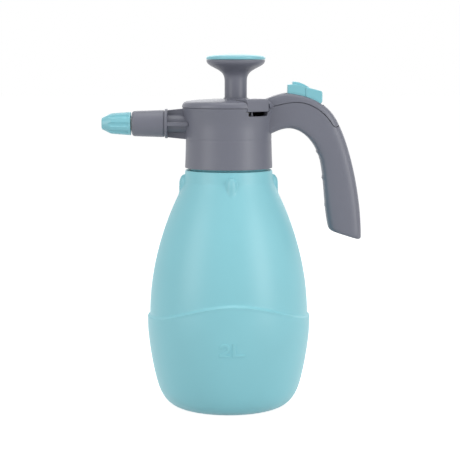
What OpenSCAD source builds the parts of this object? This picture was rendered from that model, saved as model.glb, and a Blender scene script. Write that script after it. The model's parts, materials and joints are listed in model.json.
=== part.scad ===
// Hand pump pressure sprayer. Millimetres, +Z up, nozzle towards -X, handle towards +X.
// The origin is on the bottle's axis, in the plane of the foot ring that it stands on.

/* [Bottle] */
// Radius of the foot ring's outer edge
foot_r = 42; // [40:0.5:44]
// Largest radius, at the proud lower band
band_r = 69.1; // [68:0.1:70]
// How far the lower band stands out of the upper body
band_step = 2; // [1.5:0.1:2.2]
// Wall of the blown bottle
wall = 2; // [1.6:0.1:2.2]
// Height of the shoulder's top edge, just under the collar
shoulder_z = 201.3; // [200.8:0.1:201.5]
// Inner radius of the neck
neck_r = 28.5; // [28.5:0.1:29]

/* [Head] */
// Radius of the collar at its lower edge
collar_r = 36.9; // [36.7:0.1:37.1]
// Height of the seam between the head and its cover
seam_z = 253.6; // [253.4:0.1:253.8]
// Inner radius of the pump housing above the bulkhead
cup_r = 33.5; // [33.4:0.1:33.8]
// Width of the handle, front to back
handle_w = 26; // [25:0.5:28]

/* [Pump] */
// How far the pump stands off the bottle's axis, towards the handle
pump_x = 5.9; // [5.7:0.1:6.1]
// Outer radius of the pump's stem
stem_r = 9.35; // [9:0.05:9.35]
// Inner radius of the pump cylinder
bore_r = 13.25; // [13.25:0.05:13.4]
// Largest radius of the knob
knob_r = 24.9; // [24:0.1:26]

/* [Nozzle] */
// Height of the nozzle's axis
nozzle_z = 240.1; // [239.9:0.1:240.3]
// Distance from the bottle's axis to the nozzle's tip
tip_x = 106.8; // [106.6:0.1:107]
// Number of grip flutes round the nozzle cap
flutes = 8; // [6:1:9]

/* [Relief valve] */
// Direction of the pressure relief tab round the head, in degrees from the handle
relief_dir = -48; // [-49:0.5:-47]

/* [Hidden] */
$fn = 72;
grey = [0.48, 0.485, 0.525];
cyan = [0.58, 0.83, 0.87];
natural = [0.9, 0.9, 0.87];
seal_black = [0.12, 0.12, 0.13];
steel = [0.7, 0.71, 0.73];
curve_steps = 8;      // straight stretches in each drawn curve
gap = 0.1;            // clearance left between parts that are pushed together
dip_x = -23.4;        // axis of the dip tube
bottle_turn = 3.5;    // turn of the bottle's arch and lugs from the head's directions
collar_z = 203.2;     // foot of the collar
bulkhead_z = 224;     // underside of the plate across the head
deck_z = 227;         // upper side of that plate
pivot = [72, 256.8];  // x and z of the button's pivot
arm_len = 16;         // from the button's pivot down to the yoke
relief_x = 28;        // distance of the relief valve from the bottle's axis
shell = 2.4;          // wall of the handle and its cover

// A point at t along the cubic curve from p[0] to p[3] that is pulled by p[1] and p[2]
function curve_at(p, t) =
    pow(1 - t, 3) * p[0] + 3 * t * pow(1 - t, 2) * p[1]
    + 3 * t * t * (1 - t) * p[2] + pow(t, 3) * p[3];
// The same curve as points; from = 1 leaves out its first one
function curve(p, from = 0) = [for (i = [from:curve_steps]) curve_at(p, i / curve_steps)];
// A list of points, last to first
function turned(pts) = [for (i = [len(pts) - 1:-1:0]) pts[i]];
// Points moved sideways by d, to the left of their direction of travel
function beside(pts, d) = [
    for (i = [0:len(pts) - 1])
        let (a = pts[max(i - 1, 0)], b = pts[min(i + 1, len(pts) - 1)], t = (b - a) / norm(b - a))
            pts[i] + d * [-t[1], t[0]]
];

// Bottle: outer half outline, in radius and height
foot_curve = curve([[foot_r, 0], [foot_r + 10, 0], [band_r - 11.1, 9], [band_r - 8.1, 19.3]]);
band_curve = curve([
    [band_r - 8.1, 19.3], [band_r - 4.6, 31.4], [band_r - 0.2, 56], [band_r, 72]
], 1);
body_r = band_r - band_step;
body_curve = curve([[body_r, 80], [body_r - 0.3, 115], [57.5, 148], [45, 175]]);
shoulder_curve = curve([[45, 175], [41, 183.7], [37.5, 191], [36.7, shoulder_z]], 1);

// Outer side of the housing, in radius and height, from the collar's foot to the seam
housing_side = [
    [collar_r, collar_z], [36.5, 212], [36.2, 222], [36, 235], [36.6, 243], [38.2, 250],
    [39, seam_z - 0.1]
];

// Handle: curves in x and z. The seam runs along its top, the grip along its inner side.
seam = concat(
    curve([[34, seam_z], [42, 256], [50, 258.3], [57, 258.2]]),
    curve([[57, 258.2], [68, 258], [80, 251], [87, 239]], 1),
    curve([[87, 239], [88.5, 237.4], [91, 237.4], [92.7, 239]], 1)
);
cover_near = curve([[31, 261], [37, 263.2], [43, 265.9], [49.5, 266.1]]);
cover_far = curve([[49.5, 266.1], [66, 264.2], [84, 259], [92.7, 239]], 1);
handle_back = curve([[92.7, 239], [102, 221], [111.8, 180], [112.2, 145]], 1);
handle_heel = curve([[112.2, 145], [112.3, 142.2], [110.5, 141.5], [107.5, 141.9]], 1);
handle_toe = curve([[88, 149.2], [85.5, 150.4], [84.4, 151.6], [84, 154]]);
grip_low = curve([[84, 154], [80.4, 170], [80.8, 192], [77, 209]], 1);
grip_high = curve([[77, 209], [73.5, 224], [62, 236.5], [50, 236.3]], 1);
grip_root = curve([[50, 236.3], [44, 236.2], [38.5, 233.2], [34, 231]], 1);

// A flat outline in x and z, made w thick and centred on the plane y = 0
module slab(pts, w) {
    rotate([90, 0, 0])
        linear_extrude(height = w, center = true)
            polygon(pts);
}
// A block given by its lowest and highest corners
module block(a, b) {
    translate(a) cube(b - a);
}
// A round part along X, from x = a to x = b on the nozzle's axis
module rod_x(a, b, r) {
    translate([a, 0, nozzle_z]) rotate([0, 90, 0]) cylinder(h = b - a, r = r);
}
// A cone along X, of radius ra at x = a and rb at x = b
module cone_x(a, b, ra, rb) {
    translate([a, 0, nozzle_z]) rotate([0, 90, 0]) cylinder(h = b - a, r1 = ra, r2 = rb);
}
// A round part along Z, from z = a to z = b
module rod_z(a, b, r) {
    translate([0, 0, a]) cylinder(h = b - a, r = r);
}
// A flat ring along Z
module ring_z(a, b, r, hole) {
    difference() {
        rod_z(a, b, r);
        rod_z(a - 1, b + 1, hole);
    }
}
// An O-ring round Z at the origin
module o_ring(r, cord_r) {
    rotate_extrude() translate([r, 0]) circle(r = cord_r, $fn = 24);
}
// A coil spring along Z from z = 0: the wire is swept round a helix
module coil(r, wire_r, length, turns) {
    sides = 6;
    rings = turns * 16;
    rise = length - 2 * wire_r;
    pts = [
        for (i = [0:rings], j = [0:sides - 1])
            let (a = 360 * turns * i / rings, b = 360 * j / sides, out = r + wire_r * cos(b))
                [out * cos(a), out * sin(a), wire_r + rise * i / rings + wire_r * sin(b)]
    ];
    walls = [
        for (i = [0:rings - 1], j = [0:sides - 1])
            let (a = i * sides + j, b = i * sides + (j + 1) % sides)
                [a, b, b + sides, a + sides]
    ];
    start = [for (j = [sides - 1:-1:0]) j];
    end = [for (j = [0:sides - 1]) rings * sides + j];
    polyhedron(points = pts, faces = concat(walls, [start, end]), convexity = 8);
}
// Places its children on the pump's axis
module on_pump() {
    translate([pump_x, 0, 0]) children();
}
// Turns its children so that +X points at the relief tab
module at_relief() {
    rotate([0, 0, relief_dir]) children();
}

// Blown bottle with a proud lower band, which arches up at the front and the back
module bottle() {
    arch_r = 136;
    arch_top = 95.7;
    color(cyan) {
        difference() {
            union() {
                rotate_extrude()
                    polygon(concat([[0, 60], [body_r, 60]], body_curve, shoulder_curve,
                        [[31.5, shoulder_z], [31.5, 221.5], [0, 221.5]]));
                intersection() {
                    rotate_extrude()
                        polygon(concat([[0, 0]], foot_curve, band_curve,
                            [[band_r, 84], [band_r - 1, 98], [0, 98]]));
                    translate([0, 0, arch_top - arch_r])
                        rotate([90, 0, bottle_turn])
                            cylinder(h = 160, r = arch_r, center = true, $fn = 180);
                }
                for (a = [0:90:270])
                    rotate([0, 0, a + bottle_turn])
                        translate([37.1, 0, 0]) {
                            rod_z(176, 192, 4.8);
                            translate([0, 0, 192]) sphere(r = 4.8, $fn = 40);
                        }
                bottle_thread();
            }
            rotate_extrude()
                polygon(concat([[0, 8], [24, 5.4], [34, wall]],
                    beside(foot_curve, wall), beside(band_curve, wall),
                    beside(body_curve, wall),
                    [for (p = beside(shoulder_curve, wall)) if (p[1] < shoulder_z - wall) p],
                    [[neck_r + 4, shoulder_z - wall], [neck_r, shoulder_z - wall],
                        [neck_r, 223], [0, 223]]));
            base_hollow();
        }
    }
}
// Shallow dome under the bottle, inside its foot ring
module base_hollow() {
    hollow_r = 36;
    rise = 5;
    ball_r = (hollow_r * hollow_r + rise * rise) / (2 * rise);
    translate([0, 0, rise - ball_r]) sphere(r = ball_r, $fn = 200);
}
// Ridges on the neck that stand in for its screw thread
module bottle_thread() {
    for (z = [206.5, 211.5, 216.5])
        rotate_extrude()
            polygon([[31, z - 1.4], [33.5, z - 0.4], [33.5, z + 0.4], [31, z + 1.4]]);
}
module neck_gasket() {
    color(seal_black) ring_z(221.6, 223.9, 33.8, neck_r + 0.2);
}

// Head: collar, bulkhead, pump housing, nozzle arm and the handle's shell, in one moulding
module head_body() {
    color(grey) {
        difference() {
            union() {
                housing();
                valve_cradle();
                relief_boss();
            }
            on_pump() rod_z(220, 230, 15.2);
            translate([dip_x, 0, 0]) rod_z(215, 236, 3.7);
            at_relief() translate([relief_x, 0, 0]) rod_z(215, 228, 1.8);
            outlet_bore();
            rod_x(-33.9, -30, 6.3);
            block([30, -4.4, 238.2], [42, 4.4, 243.4]);
            relief_window();
        }
    }
}
// Way out for the liquid, with the seat of the outlet's O-ring
module outlet_bore() {
    rod_x(-70, -30, 3.1);
    rod_x(-36.6, -33.8, 4.3);
}
module housing() {
    rotate_extrude()
        polygon(concat(
            [[34.4, collar_z]], housing_side,
            [[cup_r, seam_z - 0.1], [cup_r, deck_z], [0, deck_z], [0, bulkhead_z],
            [34.4, bulkhead_z]]
        ));
    for (z = [209, 214, 219])
        rotate_extrude()
            polygon([[34.9, z - 1.2], [33.9, z - 0.3], [33.9, z + 0.3], [34.9, z + 1.2]]);
}
// Everything inside the outer skin of the housing and the cover's dome
module inside_head() {
    rotate_extrude()
        polygon(concat([[0, collar_z]], housing_side, [[39.3, seam_z], [39.3, 265], [0, 265]]));
}
// The arm is a tube stiffened by an upright and a level web, with a ring at its end
module nozzle_arm() {
    web = 3;
    color(grey) {
        difference() {
            union() {
                rod_x(-53.8, -33.6, 7.7);
                rod_x(-66, -50, 6);
                rod_x(-53.8, -51.2, 12.45);
                slab([[-52, 228.6], [-34, 226.8], [-34, 253.3], [-52, 251.4]], web);
                level_web();
            }
            inside_head();
            outlet_bore();
        }
    }
}
// Level web of the arm, widening towards the housing
module level_web() {
    translate([0, 0, nozzle_z - 1.6])
        linear_extrude(height = 3.2)
            polygon([[-52, -12], [-33, -14.5], [-33, 14.5], [-52, 12]]);
}
// Hollow handle, open along its top where the cover closes it
module handle_body() {
    inside = concat(
        beside(turned(grip_root), shell), beside(turned(grip_high), shell),
        beside(turned(grip_low), shell), [[87.5, 153.5], [108, 145.5]],
        beside(turned(handle_back), shell), [[92, 250], [60, 270], [36, 270]]
    );
    color(grey) {
        difference() {
            slab(concat(beside(seam, -gap), handle_back, handle_heel, handle_toe,
                grip_low, grip_high, grip_root), handle_w);
            slab(inside, handle_w - 2 * shell);
            inside_head();
        }
        spring_bridge();
    }
}
// Shelf across the handle that carries the button's return spring
module spring_bridge() {
    half = handle_w / 2 - shell + 0.2;
    block([52.5, -half, 244.6], [60.5, half, 246.6]);
}
// Block on the bulkhead that the valve body sits on
module valve_cradle() {
    block([-31, -3.5, deck_z - 0.5], [-18, 3.5, 233.5]);
}
// Tube that holds the relief valve's spring
module relief_boss() {
    at_relief() translate([relief_x, 0, 0]) ring_z(deck_z - 0.5, 237.4, 5, 3.9);
}
// Opening in the housing for the relief tab, with room for a fingertip under it
module relief_window() {
    at_relief() {
        block([29, -12.6, 250.3], [46, 12.6, 262]);
        block([29, -10.5, 248.9], [46, 10.5, 250.4]);
        for (y = [-8.7, 8.7])
            translate([29, y, 248.9]) rotate([0, 90, 0]) cylinder(h = 17, r = 1.8);
        block([29, -8.7, 247.1], [46, 8.7, 249]);
    }
}

// Cover over the pump housing, with the strip that closes the handle
module top_cover() {
    color(grey) {
        difference() {
            union() {
                rotate_extrude()
                    polygon([
                        [39.2, seam_z], [39.1, 255.4], [38.2, 257.3], [36.8, 258.5], [35, 259.1],
                        [24, 260.3], [0, 261], [0, 258.6], [24, 257.9], [34, 256.8], [36.6, seam_z]
                    ]);
                ring_z(250.5, 257.5, cup_r - gap, cup_r - 1.8);
                on_pump() ring_z(258.2, 262, 12.6, stem_r + 0.3);
                difference() {
                    slab(concat(cover_near, cover_far, turned(seam)), handle_w);
                    rod_z(200, 258.9, cup_r + 1);
                    slab([[44, 264], [47, 263.6], [49, 263.6], [66, 261.2], [82, 253],
                        [86, 244], [84, 236], [44, 236]], handle_w - 2 * shell - 0.4);
                }
            }
            on_pump() rod_z(250, 270, stem_r + 0.3);
            block([47.6, -9.5, 250], [79.6, 9.5, 275]);
            translate([pivot[0], 0, pivot[1]])
                rotate([90, 0, 0])
                    cylinder(h = 24, r = 1.56, center = true);
            at_relief() block([21.6, -12.6, 245], [46, 12.6, 265]);
        }
    }
}

// Pump: cylinder with its check valve, guide, and the moving handle and piston
module pump_cylinder() {
    color(natural)
        on_pump()
            difference() {
                union() {
                    rod_z(110, 238, 15);
                    rod_z(228.6, 231, 18.4);
                }
                rod_z(112.5, 239, bore_r);
                rod_z(109, 114, 1.3);
                for (a = [0:60:300])
                    rotate([0, 0, a]) translate([4.4, 0, 0]) rod_z(109, 114, 1.2);
            }
}
module cylinder_seal() {
    color(seal_black) on_pump() ring_z(deck_z + 0.05, 228.55, 18.2, 15.4);
}
module pump_guide() {
    color(natural)
        on_pump()
            difference() {
                union() {
                    rod_z(228, 238.1, bore_r - gap);
                    rod_z(238.1, 241, 15);
                    rod_z(241, 257.6, 12.2);
                }
                rod_z(227, 259, stem_r + 0.08);
            }
}
module pump_handle() {
    under = concat(
        curve([[24.6, 293.4], [24.5, 289], [19, 287.6], [14.5, 284.8]]),
        curve([[14.5, 284.8], [11.4, 282.9], [stem_r, 280.8], [stem_r, 275.5]], 1)
    );
    color(grey)
        on_pump()
            difference() {
                rotate_extrude()
                    polygon(concat([[0, 293.4]], under, [[stem_r, 129.2], [0, 129.2]]));
                rod_z(132.4, 295, 7);
                rod_z(128, 134, 1.6);
            }
}
module knob_cap() {
    crown = curve([[knob_r, 293.9], [knob_r, 296.6], [20, 297.9], [0, 298.9]]);
    color(cyan)
        on_pump() {
            rotate_extrude()
                polygon(concat([[0, 293.5], [knob_r - 0.3, 293.5]], crown));
            rod_z(287, 293.6, 6.9);
        }
}
module piston() {
    color(natural)
        on_pump()
            difference() {
                rod_z(118.9, 129.1, 12.9);
                ring_z(121, 126.2, 20, 10.4);
                rod_z(118, 130, 1.6);
            }
}
module piston_seal() {
    color(seal_black) on_pump() ring_z(121.1, 126.1, bore_r - gap, 10.5);
}
module piston_screw() {
    color(steel)
        on_pump()
            difference() {
                union() {
                    rod_z(116.6, 118.8, 3.4);
                    rod_z(118.7, 136, 1.5);
                }
                block([-0.5, -2.4, 116], [0.5, 2.4, 117.6]);
                block([-2.4, -0.5, 116], [2.4, 0.5, 117.6]);
            }
}
// Rubber mushroom under the cylinder's foot, held by a bulb above the hole
module check_valve() {
    color(seal_black)
        on_pump() {
            translate([0, 0, 108.3]) cylinder(h = 1.6, r1 = 5.6, r2 = 7);
            rod_z(109.5, 115, 1.15);
            rod_z(113.9, 115.2, 1.9);
        }
}

// Spray valve: body on the bulkhead, with a stem that the yoke pulls towards the handle
module valve_body() {
    color(natural)
        difference() {
            union() {
                rod_x(-33.8, -18.1, 6);
                rod_x(-40, -33, 3);
                translate([dip_x, 0, 0]) {
                    rod_z(223.5, 238, 3.55);
                    rod_z(210, 224, 2.55);
                }
            }
            rod_x(-30.5, -17, 4.2);
            rod_x(-41, -30, 1.6);
            translate([dip_x, 0, 0]) rod_z(209, nozzle_z, 1.7);
        }
}
module valve_plug() {
    color(natural)
        difference() {
            union() {
                rod_x(-22, -18, 4.1);
                rod_x(-18, -15.8, 6);
            }
            rod_x(-23, -15, 1.36);
            rod_x(-18.2, -15, 2.7);
        }
}
module stem_seal() {
    color(seal_black)
        translate([-17.4, 0, nozzle_z]) rotate([0, 90, 0]) o_ring(2.02, 0.62);
}
module outlet_seal() {
    color(seal_black)
        translate([-35.1, 0, nozzle_z]) rotate([0, 90, 0]) o_ring(3.65, 0.6);
}
module valve_stem() {
    color(steel) {
        rod_x(-29, -12.3, 1.28);
        rod_x(-29, -27.2, 3.3);
    }
}
module valve_seal() {
    color(seal_black) rod_x(-30.4, -29.05, 2.9);
}
module valve_spring() {
    color(steel)
        translate([-27.1, 0, nozzle_z]) rotate([0, 90, 0]) coil(2.5, 0.3, 5, 4);
}
// Frame that passes the pump on both sides and joins the button's arm to the valve stem
module valve_yoke() {
    low = 239.2;
    high = 242.4;
    color(natural)
        difference() {
            union() {
                block([-15.4, -18, 237.6], [-12.4, 18, 242.6]);
                for (side = [-1, 1])
                    block([-15.4, min(side * 15.7, side * 18), low],
                        [25.2, max(side * 15.7, side * 18), high]);
                block([22.6, -18, low], [25.2, 18, high]);
                block([24, -3.6, low], [77, 3.6, high]);
            }
            rod_x(-16, -12, 1.34);
            block([pivot[0] - 1.75, -2.6, 238], [pivot[0] + 1.75, 2.6, 244]);
        }
}

// Thumb button on the handle, which hinges at its rear and pulls the yoke with its arm
module trigger_button() {
    pin_z = pivot[1];
    color(cyan)
        difference() {
            union() {
                slab([
                    [49, 261.2], [49, 272.4], [49.8, 273], [54, 273], [64, 270.6], [77, 267.6],
                    [78.2, 266.2], [78.2, 258.4], [75.4, 254.4], [68.6, 254.4], [66, 261.2]
                ], 18.4);
                slab([[53.4, 272], [53.4, 275.3], [57.5, 275], [62, 273.7], [65.5, 271.6],
                    [65.5, 269], [54, 271]], 12);
                translate([pivot[0], 0, pin_z - arm_len])
                    rotate([90, 0, 0])
                        cylinder(h = 4.6, r = 1.6, center = true);
                block([pivot[0] - 1.2, -2.3, pin_z - arm_len], [pivot[0] + 1.2, 2.3, pin_z]);
            }
            slab([[51.2, 260], [51.2, 270.4], [54, 270.6], [63.6, 268.4], [64.2, 263], [63.4, 260]],
                14);
            translate([pivot[0], 0, pin_z])
                rotate([90, 0, 0])
                    cylinder(h = 30, r = 1.58, center = true);
        }
}
module trigger_pin() {
    color(steel)
        translate([pivot[0], 0, pivot[1]])
            rotate([90, 0, 0])
                cylinder(h = 23.6, r = 1.5, center = true);
}
module trigger_spring() {
    color(steel) translate([56.5, 0, 246.7]) coil(3.2, 0.35, 22.2, 8);
}

module dip_tube() {
    color(natural) translate([dip_x, 0, 0]) ring_z(19, 222.5, 3.5, 2.6);
}
// Cap with slots on the foot of the dip tube, which keeps grit out
module strainer() {
    color(natural)
        translate([dip_x, 0, 0])
            difference() {
                rod_z(10, 26, 4.4);
                rod_z(18.9, 27, 3.56);
                rod_z(11.6, 20, 2.6);
                for (a = [0:60:120])
                    rotate([0, 0, a]) block([-6, -0.5, 12.5], [6, 0.5, 17]);
            }
}

// Nozzle: tube and swirl core inside a sleeve, with the screw cap that sets the spray
module nozzle_sleeve() {
    front = curve([[7.6, 0], [9.4, 0], [10.5, 0.9], [10.6, 2.8]]);
    color(grey)
        translate([-81.2, 0, nozzle_z])
            rotate([0, 90, 0])
                rotate_extrude()
                    polygon(concat([[6.1, 0]], front, [[11.5, 26.3], [11.5, 27.3], [6.1, 27.3]]));
}
module nozzle_tube() {
    color(natural)
        difference() {
            union() {
                rod_x(-82, -66.1, 6);
                rod_x(-66.5, -60, 3);
                rod_x(-97, -81, 5.2);
                for (x = [-95.5, -93, -90.5])
                    cone_x(x, x + 0.8, 5.2, 5.6);
            }
            rod_x(-98, -89, 2.6);
            rod_x(-90, -59, 2.2);
        }
}
module nozzle_core() {
    color(natural)
        difference() {
            union() {
                rod_x(-97.6, -89.1, 2.5);
                cone_x(-99, -97.5, 1.2, 2.5);
            }
            for (a = [0:120:240])
                translate([0, 0, nozzle_z])
                    rotate([a, 0, 0])
                        block([-100, -0.4, 1.6], [-88, 0.4, 4]);
        }
}
module nozzle_o_ring() {
    color(seal_black)
        translate([-84.4, 0, nozzle_z]) rotate([0, 90, 0]) o_ring(6.2, 0.9);
}
// Screw cap: a cone that runs into a fluted barrel with a plain rim
module nozzle_cap() {
    back = tip_x - 82.3;
    rim = [[9.6, back], [9.85, back - 0.3], [9.85, back - 1.8]];
    color(cyan)
        difference() {
            translate([-tip_x, 0, nozzle_z])
                rotate([0, 90, 0])
                    rotate_extrude()
                        polygon(concat([[0, 0], [4.4, 0], [5, 0.6], [5.3, 1.2], [8.3, 7],
                            [8.7, 8.6]],
                            turned(rim), [[0, back]]));
            rod_x(-88, -82, 7.15);
            rod_x(-99.6, -87, 5.75);
            cone_x(-102.5, -99.5, 0.8, 4.4);
            rod_x(-110, -99, 0.7);
            for (i = [0:flutes - 1])
                translate([0, 0, nozzle_z])
                    rotate([i * 360 / flutes - 3, 0, 0])
                        translate([-100.4, 0, 10.6])
                            rotate([0, 90, 0])
                                cylinder(h = 17.2, r = 2);
        }
}

// Pressure relief: a tab that lifts the sealed stem against its spring
module relief_tab() {
    color(grey)
        at_relief()
            difference() {
                union() {
                    block([33.4, -12.1, 250.7], [36.4, 12.1, 261.2]);
                    block([22, -12.1, 258.9], [36.4, 12.1, 261.2]);
                    translate([relief_x, 0, 0]) rod_z(253.5, 259, 2.9);
                }
                translate([relief_x, 0, 0]) rod_z(253, 258, 1.36);
            }
}
module relief_stem() {
    color(grey)
        at_relief()
            translate([relief_x, 0, 0]) {
                rod_z(229.25, 257.9, 1.3);
                rod_z(229.25, 230.4, 3.2);
            }
}
module relief_seal() {
    color(seal_black) at_relief() translate([relief_x, 0, 0]) rod_z(deck_z + 0.05, 229.2, 3.1);
}
module relief_spring() {
    color(steel) at_relief() translate([relief_x, 0, 230.5]) coil(2.5, 0.25, 4.3, 4);
}
module relief_cap() {
    color(natural)
        at_relief() translate([relief_x, 0, 0]) ring_z(234.9, 237.3, 3.85, 1.4);
}

bottle();
neck_gasket();
head_body();
handle_body();
nozzle_arm();
top_cover();
pump_cylinder();
pump_guide();
cylinder_seal();
pump_handle();
knob_cap();
piston();
piston_seal();
piston_screw();
check_valve();
valve_body();
valve_plug();
valve_stem();
valve_seal();
stem_seal();
outlet_seal();
valve_spring();
valve_yoke();
trigger_button();
trigger_pin();
trigger_spring();
dip_tube();
strainer();
nozzle_sleeve();
nozzle_tube();
nozzle_core();
nozzle_o_ring();
nozzle_cap();
relief_tab();
relief_stem();
relief_seal();
relief_spring();
relief_cap();
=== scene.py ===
"""Hand pump pressure sprayer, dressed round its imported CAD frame.

Shapes are worked out in millimetres with numpy and put into meshes in metres.
+Z is up, the nozzle points towards -X and the handle is on the +X side.
"""

import json
import math

import bmesh
import bpy
import numpy as np
from bpy.props import FloatProperty, FloatVectorProperty, IntProperty, PointerProperty
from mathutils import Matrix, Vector


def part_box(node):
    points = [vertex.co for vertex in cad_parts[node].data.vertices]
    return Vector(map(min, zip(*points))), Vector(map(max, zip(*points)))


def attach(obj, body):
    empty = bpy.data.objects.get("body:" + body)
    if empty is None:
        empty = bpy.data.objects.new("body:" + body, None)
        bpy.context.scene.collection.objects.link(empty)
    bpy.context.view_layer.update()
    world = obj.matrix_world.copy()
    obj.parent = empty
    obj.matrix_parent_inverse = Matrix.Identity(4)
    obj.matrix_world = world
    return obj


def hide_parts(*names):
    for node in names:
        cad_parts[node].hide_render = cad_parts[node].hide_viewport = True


bl_info = {
    "name": "Pump sprayer",
    "version": (1, 0, 0),
    "blender": (4, 5, 0),
    "location": "View3D > Sidebar > Sprayer",
    "description": "Builds a hand pump pressure sprayer piece by piece",
    "category": "Add Mesh",
}

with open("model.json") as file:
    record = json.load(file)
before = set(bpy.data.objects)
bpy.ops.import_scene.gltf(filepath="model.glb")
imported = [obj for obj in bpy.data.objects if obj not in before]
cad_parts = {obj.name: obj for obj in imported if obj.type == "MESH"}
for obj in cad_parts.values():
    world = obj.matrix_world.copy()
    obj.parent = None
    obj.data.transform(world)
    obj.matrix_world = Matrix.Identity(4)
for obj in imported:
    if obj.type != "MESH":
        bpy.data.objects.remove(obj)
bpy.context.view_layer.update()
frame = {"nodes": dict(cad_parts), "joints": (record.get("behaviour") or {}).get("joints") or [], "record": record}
JOINTS = {joint["name"]: joint for joint in frame["joints"]}
MM = 0.001


def box_mm(node):
    """Lowest and highest corner of a CAD node, in millimetres."""
    low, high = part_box(node)
    return np.array(low) / MM, np.array(high) / MM


def middle_mm(node):
    """Centre of a CAD node's box, in millimetres."""
    low, high = box_mm(node)
    return (low + high) / 2


PUMP_X = float(middle_mm("pump_handle")[0])
NOZZLE_Z = JOINTS["nozzle_twist"]["pos_m"][2] / MM
PIVOT = np.array(JOINTS["trigger_press"]["pos_m"]) / MM
RELIEF = middle_mm("relief_stem")
RELIEF_TURN = math.atan2(RELIEF[1], RELIEF[0])
NECK_TOP = float(box_mm("bottle")[1][2])


# ---------------------------------------------------------------- colours and materials


def linear(code):
    """Linear red, green and blue of an sRGB hex colour."""
    part = np.array([int(code[i : i + 2], 16) for i in (1, 3, 5)]) / 255
    bent = np.where(part <= 0.04045, part / 12.92, ((part + 0.055) / 1.055) ** 2.4)
    return tuple(float(value) for value in bent)


def add_node(tree, kind, settings=None, links=None):
    """Adds a node. settings fill its own values or inputs, links join inputs to other outputs."""
    made = tree.nodes.new(kind)
    for key, value in (settings or {}).items():
        if isinstance(key, str) and hasattr(made, key):
            setattr(made, key, value)
        else:
            made.inputs[key].default_value = value
    for key, source in (links or {}).items():
        tree.links.new(source, made.inputs[key])
    return made


# How far a skin's shade and gloss drift about their values
SHADE_DRIFT, GLOSS_DRIFT = 0.03, 0.05


def moulded(name, colour, roughness, grain_mm, relief_mm):
    """A plastic or rubber skin: its grain is a fine noise bump, with a slow drift of shade and gloss.

    grain_mm is the pitch of the mould's texture and relief_mm its height.
    """
    material = bpy.data.materials.new(name)
    material.use_nodes = True
    tree = material.node_tree
    tree.nodes.clear()
    place = add_node(tree, "ShaderNodeTexCoord").outputs["Object"]
    grain = add_node(tree, "ShaderNodeTexNoise",
                     {"Scale": 1 / (grain_mm * MM), "Detail": 2.0, "Roughness": 0.6}, {"Vector": place})
    drift = add_node(tree, "ShaderNodeTexNoise", {"Scale": 28.0, "Detail": 3.0}, {"Vector": place})
    dark = tuple(value * (1 - SHADE_DRIFT) for value in colour)
    light = tuple(min(1.0, value * (1 + SHADE_DRIFT)) for value in colour)
    shade = add_node(tree, "ShaderNodeMix", {"data_type": "RGBA", 6: (*dark, 1), 7: (*light, 1)},
                     {0: drift.outputs["Fac"]})
    gloss = add_node(tree, "ShaderNodeMapRange",
                     {"To Min": roughness - GLOSS_DRIFT, "To Max": roughness + GLOSS_DRIFT},
                     {"Value": drift.outputs["Fac"]})
    bump = add_node(tree, "ShaderNodeBump", {"Strength": 0.6, "Distance": relief_mm * MM},
                    {"Height": grain.outputs["Fac"]})
    skin = add_node(tree, "ShaderNodeBsdfPrincipled", {"IOR": 1.5},
                    {"Base Color": shade.outputs[2], "Roughness": gloss.outputs["Result"],
                     "Normal": bump.outputs["Normal"]})
    add_node(tree, "ShaderNodeOutputMaterial", {}, {"Surface": skin.outputs[0]})
    return material


def drawn_steel():
    """Stainless spring steel: a metal with fine marks from drawing and turning."""
    material = bpy.data.materials.new("drawn_stainless_steel")
    material.use_nodes = True
    tree = material.node_tree
    tree.nodes.clear()
    place = add_node(tree, "ShaderNodeTexCoord").outputs["Object"]
    marks = add_node(tree, "ShaderNodeTexNoise", {"Scale": 1 / (0.2 * MM), "Detail": 3.0},
                     {"Vector": place})
    gloss = add_node(tree, "ShaderNodeMapRange", {"To Min": 0.22, "To Max": 0.38},
                     {"Value": marks.outputs["Fac"]})
    skin = add_node(tree, "ShaderNodeBsdfPrincipled",
                    {"Base Color": (*linear("#c9cacc"), 1), "Metallic": 1.0},
                    {"Roughness": gloss.outputs["Result"]})
    add_node(tree, "ShaderNodeOutputMaterial", {}, {"Surface": skin.outputs[0]})
    return material


# Each finish: how its colour is named in the settings, roughness, grain and relief in millimetres
FINISHES = {
    # High-density polyethylene blown in a lightly blasted mould: satin, with broad soft highlights
    "blown_polyethylene": ("bottle_colour", 0.40, 0.55, 0.010),
    # Polypropylene moulded in a fine spark-eroded cavity: satin grey
    "grained_polypropylene": ("head_colour", 0.42, 0.45, 0.014),
    # Polypropylene moulded in a polished cavity: brighter highlights than the head
    "polished_polypropylene": ("trim_colour", 0.30, 0.80, 0.006),
    # Unpigmented acetal, machine-white
    "natural_acetal": ("inner_colour", 0.36, 0.70, 0.006),
    # Nitrile rubber, matt black
    "nitrile_rubber": ("rubber_colour", 0.62, 0.35, 0.012),
}


def finish(name):
    """The named material, made the first time it is asked for."""
    if name in bpy.data.materials:
        return bpy.data.materials[name]
    if name == "drawn_stainless_steel":
        return drawn_steel()
    prop, roughness, grain_mm, relief_mm = FINISHES[name]
    colour = tuple(getattr(bpy.context.scene.sprayer_colours, prop))
    return moulded(name, colour, roughness, grain_mm, relief_mm)


# Body, material and slot of the pieces that share them
HEAD = ("head", "grained_polypropylene", "head_plastic")
TANK = ("tank", "blown_polyethylene", "bottle_plastic")


# ---------------------------------------------------------------- curves and outlines


def bezier(a, b, c, d, count=24, skip=0):
    """Points of the cubic curve from a to d, pulled by b and c. skip leaves out the first ones."""
    t = np.linspace(0, 1, count + 1)[skip:, None]
    a, b, c, d = (np.asarray(point, float) for point in (a, b, c, d))
    return a * (1 - t) ** 3 + 3 * b * t * (1 - t) ** 2 + 3 * c * t * t * (1 - t) + d * t**3


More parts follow.
